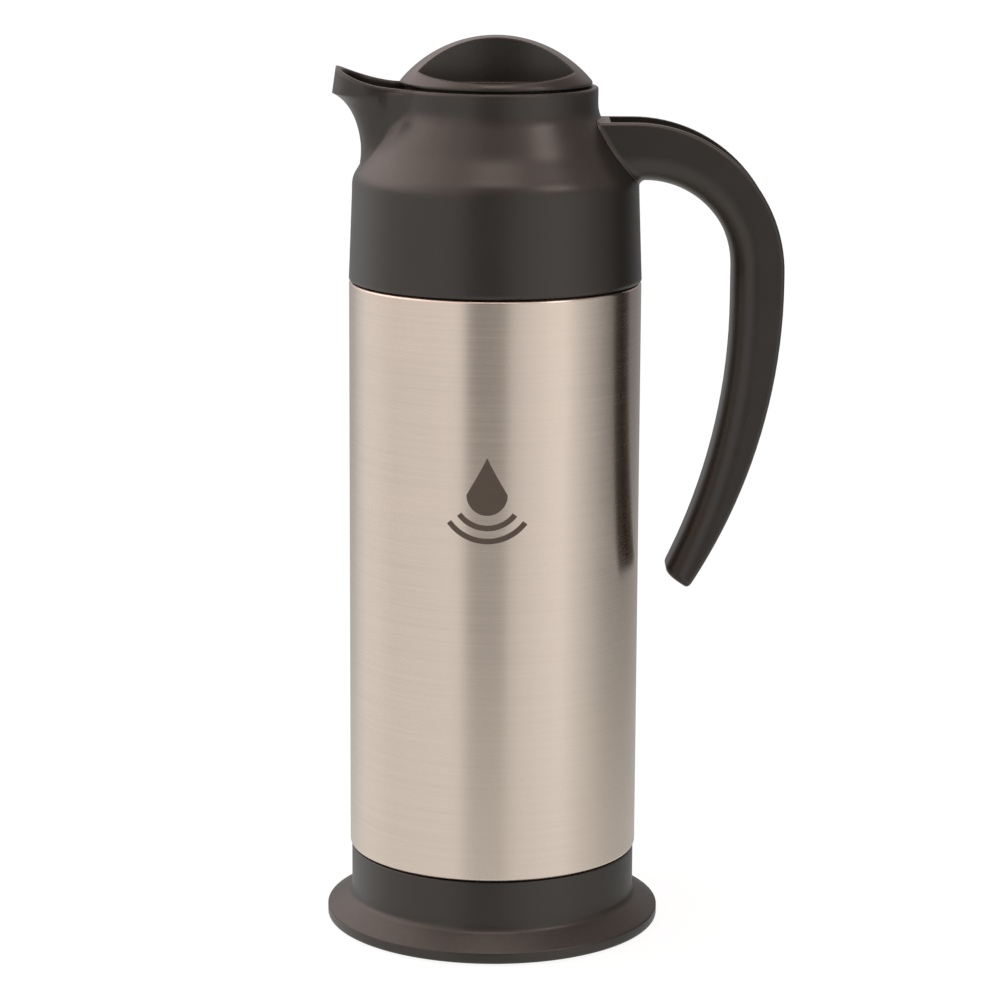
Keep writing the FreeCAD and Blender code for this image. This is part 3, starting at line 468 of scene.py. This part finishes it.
def rounded(corners, chords=10):
    """Points of an outline in mm; a corner (x, z, radius) becomes an arc of short chords."""
    points = []
    for i, corner in enumerate(corners):
        here = Vector(corner[:2])
        if len(corner) < 3:
            points.append(here)
            continue
        back = (Vector(corners[i - 1][:2]) - here).normalized()
        ahead = (Vector(corners[(i + 1) % len(corners)][:2]) - here).normalized()
        half = back.angle(ahead) / 2
        centre = here + (back + ahead).normalized() * corner[2] / math.sin(half)
        start = here + back * corner[2] / math.tan(half) - centre
        stop = here + ahead * corner[2] / math.tan(half) - centre
        sweep = start.angle_signed(stop)
        for step in range(chords + 1):
            turned = start.copy()
            turned.rotate(Matrix.Rotation(-sweep * step / chords, 2))
            points.append(centre + turned)
    return points


def turned_form(points, steps):
    """A closed outline (x, z in mm) spun once round the Z axis."""
    form = bmesh.new()
    verts = [form.verts.new((x * mm, 0, z * mm)) for x, z in points]
    edges = [form.edges.new((verts[i - 1], verts[i])) for i in range(len(verts))]
    bmesh.ops.spin(form, geom=[*verts, *edges], cent=(0, 0, 0), axis=(0, 0, 1),
                   angle=2 * math.pi, steps=steps, use_duplicate=False)
    return form


# %% Spin the outer wall
shell_low, shell_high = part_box("outer_shell")
outer, foot, neck_top = shell_high.x / mm, shell_low.z / mm, shell_high.z / mm
seat, neck = outer - 2.6, outer - 20.5          # under the mouldings, and at the mouth
lower_step, upper_step, shoulder = 24.5, 203.3, neck_top - 14
sheet, step_round, inner_round = 0.5, 0.9, 0.4
wide = step_round + sheet
wall_outline = rounded([
    (seat, foot), (seat, lower_step, step_round), (outer, lower_step, step_round),
    (outer, upper_step, step_round), (seat, upper_step, step_round),
    (seat, shoulder, 10), (neck, shoulder, 1.5), (neck, neck_top), (neck - sheet, neck_top),
    (neck - sheet, shoulder - sheet, 2), (seat - sheet, shoulder - sheet, 9.5),
    (seat - sheet, upper_step - sheet, wide), (outer - sheet, upper_step - sheet, inner_round),
    (outer - sheet, lower_step + sheet, inner_round), (seat - sheet, lower_step + sheet, wide),
    (seat - sheet, foot),
])
steel_wall = to_object(turned_form(wall_outline, 240), "steel_wall", steel, "creamer")
steel_wall.data.set_sharp_from_angle(angle=math.radians(30))
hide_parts("outer_shell")
print("outer wall:", len(steel_wall.data.polygons), "faces")

# %% [markdown]
# ## Drawn steel inside
#
# The inner vessel is drawn, not brushed. It is duller, with soft level rings from the tool, and
# a faint milk bloom in its colour. The dish under it and the screws share the same sheet.

# %% Drawn steel
drawn, graph, shader, where = new_finish("drawn_inner_steel", Metallic=1.0, Anisotropic=0.4)
rings = use_group(graph, brushing, Vector=where, Fine=2600.0, Wide=260.0, Along=6.0)
bloom = use_group(graph, moulding, Vector=where, Cloud=45.0)
feed(graph, shader,
     Base_Color=between(graph, bloom.outputs["Clouds"], (0.52, 0.50, 0.48), (0.64, 0.62, 0.60)),
     Roughness=spread_over(graph, rings.outputs["Streaks"], 0.26, 0.42),
     Normal=bumped(graph, rings.outputs["Streaks"], 0.12, 0.00003))
dress(["inner_liner", "shell_bottom", "handle_screws", "getter"], drawn)

# %% [markdown]
# ## Black moulded plastic
#
# Collar, handle, base and cap are polypropylene, coloured a warm black in the mass. They differ
# a little, because each comes out of its own mould: the cap is the smoothest, the base the
# most matt. One function makes the finish, and each part gives its own grain, gloss and tone.


# %% Black plastic
warm_gloss = (1.0, 0.95, 0.89, 1.0)
dust_tone = (0.20, 0.185, 0.17)


def moulded_black(name, tone, light, gloss, grain, rub=0.30, dust=0.06, soften=0.0004):
    """Satin black: tone and light are its colours in the plain and on edges."""
    finish, graph, shader, where = new_finish(name, IOR=1.6, Specular_Tint=warm_gloss)
    skin = use_group(graph, moulding, Vector=where, Grain=grain)
    rim = use_group(graph, rubbing)
    lying = use_group(graph, dusting, Vector=where, Amount=dust)
    deep = tuple(0.82 * part for part in tone)
    body = between(graph, skin.outputs["Clouds"], deep, tone)
    edge = math_node(graph, "MULTIPLY", rim.outputs["Edge"], rub)
    worn = between(graph, edge, body, light)
    even = spread_over(graph, skin.outputs["Clouds"], gloss - 0.035, gloss + 0.035)
    softened = add_node(graph, "ShaderNodeBevel", {"samples": 6}, Radius=soften)
    feed(graph, shader,
         Base_Color=between(graph, lying.outputs["Dust"], worn, dust_tone),
         Roughness=math_node(graph, "MULTIPLY_ADD", edge, -0.12, even),
         Normal=bumped(graph, skin.outputs["Height"], 0.16, 0.00006,
                       Normal=softened.outputs[0]))
    return finish


# %% Plastics of the parts
warm_black, stopper_tone = (0.0140, 0.0120, 0.0102), (0.0140, 0.0130, 0.0120)
rubbed = (0.080, 0.068, 0.062)
collar_black = moulded_black("collar_black", warm_black, rubbed, 0.33, 3200.0, soften=0.0018)
handle_black = moulded_black("handle_black", warm_black, rubbed, 0.35, 3000.0, rub=0.4)
base_black = moulded_black("base_black", warm_black, rubbed, 0.36, 2600.0)
cap_black = moulded_black("cap_black", warm_black, rubbed, 0.28, 3800.0, soften=0.0009)
stopper_black = moulded_black("stopper_black", stopper_tone, rubbed, 0.38, 2400.0)
dress(["collar"], collar_black)
dress(["handle"], handle_black)
dress(["base_ring", "base_plate"], base_black)
dress(["lid_cap"], cap_black)
dress(["stopper_body", "stopper_bottom", "neck_ring"], stopper_black)

# %% [markdown]
# ## Soft seam of the spout
#
# In the mould the spout grows out of the collar with a soft blend of some millimetres. The solid
# model has a crease there. This piece fills it. Rays towards the axis read how far the collar
# reaches out at each angle and height. What stands out from the plain turned form is blurred,
# and where the blur lies higher than the surface it becomes the filling. The filling thins out
# away from the crease. At the piece's edges it dips just below the collar and can't be seen.

# %% Read the collar's outside
collar = nodes["collar"]
collar_tree = BVHTree.FromPolygons(
    [collar.matrix_world @ vert.co for vert in collar.data.vertices],
    [tuple(polygon.vertices) for polygon in collar.data.polygons])
seam_half, seam_step = 66.0, 0.6                # degrees from the spout's middle
seam_depth, row_step = 36 * mm, 0.4 * mm
mouth_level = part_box("lid_cap")[0].z + 6.0 * mm
seam_angles = np.radians(np.arange(-seam_half, seam_half + 0.1, seam_step))
seam_heights = np.arange(mouth_level - seam_depth, mouth_level, row_step)
ray_start, plain_side = 0.09, math.radians(100)


def outside(angle, height):
    """Distance from the axis to the collar's outer surface; angle 0 is the spout's side."""
    outward = Vector((-math.cos(angle), -math.sin(angle), 0))
    hit = collar_tree.ray_cast(outward * ray_start + Vector((0, 0, height)), -outward)[0]
    return math.hypot(hit.x, hit.y) if hit else 0.0


collar_reach = np.array([[outside(a, z) for a in seam_angles] for z in seam_heights])
turned_reach = np.array([outside(plain_side, z) for z in seam_heights])[:, None]
print("seam grid:", collar_reach.shape,
      "furthest", round(float(collar_reach.max()) / mm, 1), "mm")


# %% Find the filling
def blurred(field, spread):
    """A Gaussian blur over columns and rows, with the end values carried on."""
    half = int(3 * spread)
    weights = np.exp(-0.5 * (np.arange(-half, half + 1) / spread) ** 2)
    weights /= weights.sum()
    for axis in (1, 0):
        padding = [(half, half) if i == axis else (0, 0) for i in range(2)]
        field = np.apply_along_axis(np.convolve, axis, np.pad(field, padding, mode="edge"),
                                    weights, mode="valid")
    return field


blend_spread, last_spread = 7.0, 1.5            # in steps of the grid
soft_foot = 0.3 * mm                            # the filling thins out over this much
fade_top, fade_low, fade_side = 8 * mm, 16 * mm, math.radians(24)
sunk, thickness = 0.05 * mm, 0.7 * mm
standing_out = collar_reach - turned_reach
excess = blurred(standing_out, blend_spread) - standing_out
filling = soft_foot * np.log1p(np.exp(excess / soft_foot))
filling *= np.clip((seam_heights[-1] - seam_heights) / fade_top, 0, 1)[:, None]
filling *= np.clip((seam_heights - seam_heights[0]) / fade_low, 0, 1)[:, None]
filling *= np.clip((math.radians(seam_half) - np.abs(seam_angles)) / fade_side, 0, 1)
print("filling up to", round(float(filling.max()) / mm, 1), "mm")

# %% Fill the seam
seam = bmesh.new()
layers = [
    [[seam.verts.new((-r * math.cos(a), -r * math.sin(a), z)) for a, r in zip(seam_angles, row)]
     for z, row in zip(seam_heights, layer)]
    for layer in (collar_reach + blurred(filling, last_spread) - sunk, collar_reach - thickness)]
front, back = layers
rows, columns = collar_reach.shape
for layer in layers:
    for i in range(rows - 1):
        for j in range(columns - 1):
            seam.faces.new((layer[i][j], layer[i][j + 1], layer[i + 1][j + 1], layer[i + 1][j]))
for i in (0, rows - 1):
    for j in range(columns - 1):
        seam.faces.new((front[i][j], front[i][j + 1], back[i][j + 1], back[i][j]))
for j in (0, columns - 1):
    for i in range(rows - 1):
        seam.faces.new((front[i][j], front[i + 1][j], back[i + 1][j], back[i][j]))
spout_seam = to_object(seam, "spout_seam", collar_black, "creamer")
spout_seam.data.set_sharp_from_angle(angle=math.radians(50))
print("seam:", len(spout_seam.data.polygons), "faces")

# %% [markdown]
# ## Base flare
#
# On the real base the flare bends sharply out of the sleeve and then runs down to the rim in one
# flat slope, which catches a broad band of light. The solid model has a plain quarter round
# there. The ring is spun again with that slope; the seats for steel, plate and foot stay.

# %% Spin the base ring
ring_low, ring_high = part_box("base_ring")
ring_reach, ring_foot, ring_top = ring_high.x / mm, ring_low.z / mm, ring_high.z / mm
rim_top, slope_top = ring_foot + 3.4, ring_foot + 8.2
sleeve, bore, ledge = ring_reach - 7.7, ring_reach - 9.6, ring_reach - 14.2
ledge_top, plate_seat, groove_roof = ring_foot + 5.4, ring_foot + 1, ring_foot + 2.8
groove_in, groove_out = ledge + 2, ledge + 9
ring_outline = rounded([
    (ring_reach, ring_foot, 0.8), (ring_reach, rim_top, 0.7), (sleeve, slope_top, 2.6),
    (sleeve, ring_top, 0.4), (bore, ring_top), (bore, ledge_top), (ledge, ledge_top),
    (ledge, plate_seat), (groove_in, plate_seat), (groove_in, groove_roof),
    (groove_out, groove_roof), (groove_out, ring_foot),
])
base_flare = to_object(turned_form(ring_outline, 240), "base_flare", base_black, "creamer")
base_flare.data.set_sharp_from_angle(angle=math.radians(30))
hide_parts("base_ring")
print("base:", len(base_flare.data.polygons), "faces")

# %% [markdown]
# ## Cap with two thumb pockets
#
# Each pocket of the real cap is a lens in plan: its back wall bows in towards the fin, and its
# front wall follows the rim. From the front only the dark back wall shows, above a bright rim.
# The level cut of the solid model shows its floor instead. Here the dome is spun from its
# section, and a Boolean modifier takes out one pocket on each side of the fin.

# %% Spin the cap
cap_low, cap_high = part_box("lid_cap")
cap_reach, cap_top, skirt_foot = cap_high.x / mm, cap_high.z / mm, cap_low.z / mm
dome_radius, dome_end, dome_steps = 38.05, math.radians(49.9), 28
rim_low, underside = cap_top - 14.9, cap_top - 16.1
rim_edge = rim_low + 0.9
skirt = cap_reach - 1.46
skirt_inside = skirt - 2
plug, groove = 19.4, 17.87
plug_inside, plug_foot = plug - 2.2, skirt_foot + 0.1
groove_low, groove_high = skirt_foot + 1.7, skirt_foot + 3.5
dome_arc = [dome_end * step / dome_steps for step in range(dome_steps + 1)]
cap_outline = rounded([
    *[(dome_radius * math.sin(a), cap_top - dome_radius * (1 - math.cos(a))) for a in dome_arc],
    (cap_reach, rim_edge), (cap_reach, rim_low, 0.5), (skirt, rim_low), (skirt, skirt_foot),
    (skirt_inside, skirt_foot), (skirt_inside, underside), (plug, underside),
    (plug, groove_high), (groove, groove_high), (groove, groove_low), (plug, groove_low),
    (plug, plug_foot), (plug_inside, plug_foot), (plug_inside, underside), (0, underside),
], chords=5)
cap = to_object(turned_form(cap_outline, 200), "lid_dome", cap_black, "lid")
print("cap:", len(cap.data.polygons), "faces before the pockets")


# %% Cut the pockets
def arc_points(half_width, end, middle, count):
    """Points of an arc from (-half_width, end) over (0, middle) to (half_width, end)."""
    rise = middle - end
    radius = (half_width ** 2 + rise ** 2) / (2 * rise)
    reach = math.asin(half_width / abs(radius))
    turns = [reach * (2 * step / count - 1) for step in range(count + 1)]
    return [(abs(radius) * math.sin(a), middle - radius * (1 - math.cos(a))) for a in turns]


pocket_half, pocket_corner = 23.6, 10.8
pocket_back, pocket_front = 5.2, 28.2
floor_level, cutter_height = rim_low + 0.8, 25 * mm
back_wall = arc_points(pocket_half, pocket_corner, pocket_back, 40)
front_wall = arc_points(pocket_half, pocket_corner, pocket_front, 60)
plan = back_wall + front_wall[-2:0:-1]
for side in (1, -1):
    cutter_form = bmesh.new()
    floor_face = cutter_form.faces.new(
        [cutter_form.verts.new((x * mm, side * y * mm, floor_level * mm)) for x, y in plan])
    lifted = bmesh.ops.extrude_face_region(cutter_form, geom=[floor_face])
    upper = [item for item in lifted["geom"] if isinstance(item, bmesh.types.BMVert)]
    bmesh.ops.translate(cutter_form, verts=upper, vec=(0, 0, cutter_height))
    bmesh.ops.recalc_face_normals(cutter_form, faces=cutter_form.faces)
    cutter_mesh = bpy.data.meshes.new("pocket_cutter")
    cutter_form.to_mesh(cutter_mesh)
    cutter_form.free()
    cutter = bpy.data.objects.new("pocket_cutter", cutter_mesh)
    bpy.context.scene.collection.objects.link(cutter)
    carve = cap.modifiers.new("pocket", "BOOLEAN")
    carve.operation, carve.solver, carve.object = "DIFFERENCE", "EXACT", cutter
    carved = bpy.data.meshes.new_from_object(
        cap.evaluated_get(bpy.context.evaluated_depsgraph_get()))
    cap.modifiers.clear()
    cap.data = carved
    bpy.data.objects.remove(cutter)
cap.data.set_sharp_from_angle(angle=math.radians(25))
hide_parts("lid_cap")
print("cap:", len(cap.data.polygons), "faces with the pockets")

# %% [markdown]
# ## Rubber and silicone
#
# The foot is a dull black rubber that picks up dust. The washer and the flat seal are food grade
# silicone: pale, slightly see-through and soft in gloss. Light that enters it comes out nearby,
# which subsurface scattering gives at a scale of half a millimetre.

# %% Rubber foot and seal
rubber, graph, shader, where = new_finish("dull_rubber", Specular_IOR_Level=0.3)
skin = use_group(graph, moulding, Vector=where, Grain=1800.0, Cloud=80.0)
lying = use_group(graph, dusting, Vector=where, Amount=0.5)
body = between(graph, skin.outputs["Clouds"], (0.018, 0.018, 0.018), (0.030, 0.029, 0.028))
feed(graph, shader,
     Base_Color=between(graph, lying.outputs["Dust"], body, (0.22, 0.21, 0.20)),
     Roughness=spread_over(graph, skin.outputs["Clouds"], 0.68, 0.82),
     Normal=bumped(graph, skin.outputs["Height"], 0.35, 0.0001))
dress(["foot_ring", "cap_seal"], rubber)

# %% Silicone
silicone, graph, shader, where = new_finish(
    "pale_silicone", Subsurface_Weight=0.35, Subsurface_Scale=0.0006, IOR=1.41)
skin = use_group(graph, moulding, Vector=where, Grain=1500.0, Cloud=60.0)
feed(graph, shader,
     Base_Color=between(graph, skin.outputs["Clouds"], (0.56, 0.55, 0.52), (0.66, 0.65, 0.62)),
     Roughness=spread_over(graph, skin.outputs["Clouds"], 0.44, 0.56),
     Normal=bumped(graph, skin.outputs["Height"], 0.15, 0.00005))
dress(["neck_washer", "stopper_gasket"], silicone)

# %% [markdown]
# ## Hidden pieces
#
# The foam core in the stopper is a white bead foam: its cells are a Voronoi pattern a millimetre
# and a half across. The port in the dish is closed by a bead of dark fused glass.

# %% Foam core
foam, graph, shader, where = new_finish("bead_foam", Specular_IOR_Level=0.25)
cells = add_node(graph, "ShaderNodeTexVoronoi", {"feature": "DISTANCE_TO_EDGE"}, Vector=where,
                 Scale=650.0)
walls = progress(graph, cells.outputs["Distance"], 0.0, 0.18)
feed(graph, shader,
     Base_Color=between(graph, walls, (0.62, 0.61, 0.57), (0.86, 0.85, 0.81)),
     Roughness=spread_over(graph, walls, 0.95, 0.75),
     Normal=bumped(graph, walls, 0.6, 0.0002))
dress(["insulation_plug"], foam)

# %% Port bead
bead, graph, shader, where = new_finish("fused_bead", IOR=1.5, Coat_Weight=0.4)
swirl = add_node(graph, "ShaderNodeTexNoise", Vector=where, Scale=900.0, Detail=3.0,
                 Distortion=1.2)
feed(graph, shader,
     Base_Color=between(graph, swirl.outputs["Fac"], (0.05, 0.055, 0.05), (0.14, 0.15, 0.14)),
     Roughness=spread_over(graph, swirl.outputs["Fac"], 0.14, 0.30))
dress(["port_seal"], bead)

# %% [markdown]
# ## Thread on the stopper
#
# The stopper screws into the neck with a two-start thread of 12 mm lead: each start is a low
# ridge that climbs the barrel for three quarters of a turn. The solid model has only plain
# clearance there. A ridge is a small closed section spun round the axis, with an offset along
# the axis at every step. That makes a helix in one operator. A curve with a bevel would twist
# its section, and a screw modifier would have to be applied.


# %% Stopper thread
barrel_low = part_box("stopper_body")[0].z
inside_barrel, crest, lead = 21.3 * mm, 22.5 * mm, 12 * mm
root_half, crest_half = 1.25 * mm, 0.45 * mm
start_height = barrel_low + 7.0 * mm
start_angles = (0.35, 0.35 + math.pi)
turn_share, steps = 0.72, 72
ridge_profile = [(inside_barrel, -root_half), (crest, -crest_half), (crest, crest_half),
                 (inside_barrel, root_half)]
thread = bmesh.new()
for start_angle in start_angles:
    corners = [thread.verts.new((x, 0, start_height + rise)) for x, rise in ridge_profile]
    section = thread.faces.new(corners)
    bmesh.ops.rotate(thread, verts=corners, cent=(0, 0, 0),
                     matrix=Matrix.Rotation(start_angle, 3, "Z"))
    bmesh.ops.spin(
        thread, geom=[section, *section.edges, *corners], cent=(0, 0, 0), axis=(0, 0, 1),
        dvec=(0, 0, lead * turn_share / steps), angle=2 * math.pi * turn_share, steps=steps,
        use_duplicate=False)
stopper_thread = to_object(thread, "stopper_thread", stopper_black, "lid",
                           smooth=False)
print(len(start_angles), "ridges,", len(stopper_thread.data.polygons), "faces")

# %% [markdown]
# ## Mark on the steel
#
# Such jugs carry an etched sign for what they hold. This one has a plain drop above two ripples,
# etched a little darker and duller than the steel. The outline is drawn flat, cut into narrow
# strips, and then bent round the wall, so that it lies on the steel everywhere.

# %% Etched finish
etched, graph, shader, where = new_finish("etched_grey", Metallic=0.35, Specular_IOR_Level=0.3)
lines = use_group(graph, brushing, Vector=where)
feed(graph, shader,
     Base_Color=between(graph, lines.outputs["Lines"], (0.082, 0.066, 0.053),
                        (0.120, 0.098, 0.080)),
     Roughness=spread_over(graph, lines.outputs["Streaks"], 0.52, 0.68),
     Normal=bumped(graph, lines.outputs["Lines"], 0.2, 0.00003))
print("finish:", etched.name)

# %% Drop and ripples, drawn flat
drop_radius, drop_rise = 6.2 * mm, 3.4 * mm
tip_power, tip_stretch = 0.55, 0.85             # how the circle's top narrows and rises
ripple_middle, ripple_width, ripple_half = 4.0 * mm, 1.7 * mm, math.radians(52)
mark = bmesh.new()
round_drop = bmesh.ops.create_circle(mark, cap_ends=True, segments=64, radius=drop_radius)
for vert in round_drop["verts"]:
    rise = max(vert.co.y, 0) / drop_radius
    vert.co.x *= (1 - rise) ** tip_power if rise < 1 else 0
    vert.co.y *= 1 + tip_stretch * rise
bmesh.ops.translate(mark, verts=round_drop["verts"], vec=(0, drop_rise, 0))
for radius in (11.5 * mm, 15.5 * mm):
    low = mark.verts.new((0, ripple_middle - radius, 0))
    high = mark.verts.new((0, ripple_middle - radius + ripple_width, 0))
    edge = mark.edges.new((low, high))
    bmesh.ops.rotate(mark, verts=[low, high], cent=(0, ripple_middle, 0),
                     matrix=Matrix.Rotation(-ripple_half, 3, "Z"))
    bmesh.ops.spin(mark, geom=[edge, low, high], cent=(0, ripple_middle, 0), axis=(0, 0, 1),
                   angle=2 * ripple_half, steps=40, use_duplicate=False)
print("drawn:", len(mark.faces), "faces")

# %% Cut into strips and bend round the wall
wall_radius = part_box("outer_shell")[1].x
mark_height, mark_turn = 141.5 * mm, -2.1 * mm / wall_radius
proud, strip_width = 0.02 * mm, 0.8
for strip in range(-20, 21):
    bmesh.ops.bisect_plane(
        mark, geom=[*mark.verts, *mark.edges, *mark.faces], dist=1e-7,
        plane_co=(strip * strip_width * mm, 0, 0), plane_no=(1, 0, 0))
bmesh.ops.triangulate(mark, faces=mark.faces)
for vert in mark.verts:
    angle = vert.co.x / wall_radius + mark_turn
    out = wall_radius + proud
    vert.co = Vector((out * math.sin(angle), -out * math.cos(angle),
                      vert.co.y + mark_height))
etched_mark = to_object(mark, "etched_mark", etched, "creamer")
print("mark:", len(etched_mark.data.polygons), "faces")
